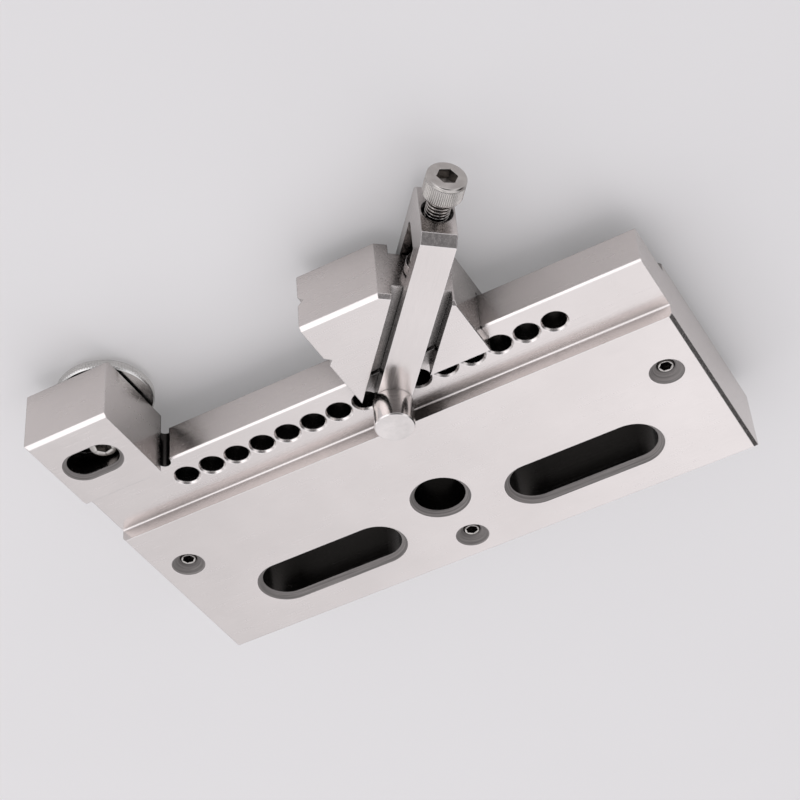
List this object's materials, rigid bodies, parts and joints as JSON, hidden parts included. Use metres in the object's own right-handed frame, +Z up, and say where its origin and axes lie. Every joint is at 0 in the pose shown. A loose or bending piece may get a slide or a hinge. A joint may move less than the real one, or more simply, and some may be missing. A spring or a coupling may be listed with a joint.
{
  "type": "wire-cutting vise",
  "caption": "Flat stainless vise for wire-cutting machines: slotted plate, rail with pin holes, fixed jaw, and a sliding jaw pressed along the rail by a pinned yoke and screw.",
  "frame": {"origin": "axis of the plate's centre bore, on the seating face (underside)", "axes": "+Z up, out of the plate's top face; +X along the rail towards the fixed jaw; +Y from the jaws towards the plate's back edge"},
  "size_m": [0.21, 0.161, 0.0433],
  "materials": {
    "ground_steel": "surface-ground stainless, satin",
    "pin_steel": "turned and polished stainless",
    "screw_steel": "stainless socket screws, knurled heads",
    "knob_steel": "turned stainless, knurled rim"
  },
  "bodies": {
    "body": {"vise_body": "ground_steel"},
    "jaw": {"movable_jaw": "ground_steel"},
    "yoke": {"clamp_yoke": "ground_steel"},
    "pin": {"yoke_pin": "pin_steel"},
    "pad": {"pressure_pad": "pin_steel"},
    "screw": {"clamp_screw": "screw_steel"},
    "leveller_1": {"levelling_screw_1": "screw_steel"},
    "leveller_2": {"levelling_screw_2": "screw_steel"},
    "leveller_3": {"levelling_screw_3": "screw_steel"},
    "stop": {"stop_screw": "screw_steel"},
    "knob": {"stop_knob": "knob_steel"}
  },
  "joints": [
    {"name": "yoke_swing", "type": "hinge", "parent": "body", "child": "yoke", "pos_m": [-0.01, -0.053, 0.0125], "axis": [0, 0, 1], "range_deg": [-2, 2]},
    {"name": "pad_feed", "type": "slide", "parent": "yoke", "child": "pad", "axis": [0.6428, 0.766, 0], "range_m": [-0.0019, 0.0019]},
    {"name": "screw_turn", "type": "hinge", "parent": "pad", "child": "screw", "pos_m": [-0.01, -0.053, 0.0125], "axis": [0.6428, 0.766, 0], "range_deg": [-540, 540]},
    {"name": "jaw_slide", "type": "slide", "parent": "body", "child": "jaw", "axis": [1, 0, 0], "range_m": [-0.0029, 0.0029]},
    {"name": "pin_pull", "type": "slide", "parent": "body", "child": "pin", "axis": [0, 0, 1], "range_m": [0, 0.03]},
    {"name": "leveller_1_height", "type": "slide", "parent": "body", "child": "leveller_1", "axis": [0, 0, -1], "range_m": [-0.002, 0.008]},
    {"name": "leveller_2_height", "type": "slide", "parent": "body", "child": "leveller_2", "axis": [0, 0, -1], "range_m": [-0.002, 0.008]},
    {"name": "leveller_3_height", "type": "slide", "parent": "body", "child": "leveller_3", "axis": [0, 0, -1], "range_m": [-0.002, 0.008]},
    {"name": "stop_slide", "type": "slide", "parent": "body", "child": "stop", "axis": [1, 0, 0], "range_m": [0, 0.008]},
    {"name": "knob_turn", "type": "hinge", "parent": "stop", "child": "knob", "pos_m": [0.0855, -0.0808, 0], "axis": [0, 0, 1], "continuous": true}
  ],
  "couplings": [
    {"joint": "pad_feed", "follows": "jaw_slide", "ratio": 0.64279},
    {"joint": "screw_turn", "follows": "jaw_slide", "rad_per_m": 3231}
  ]
}
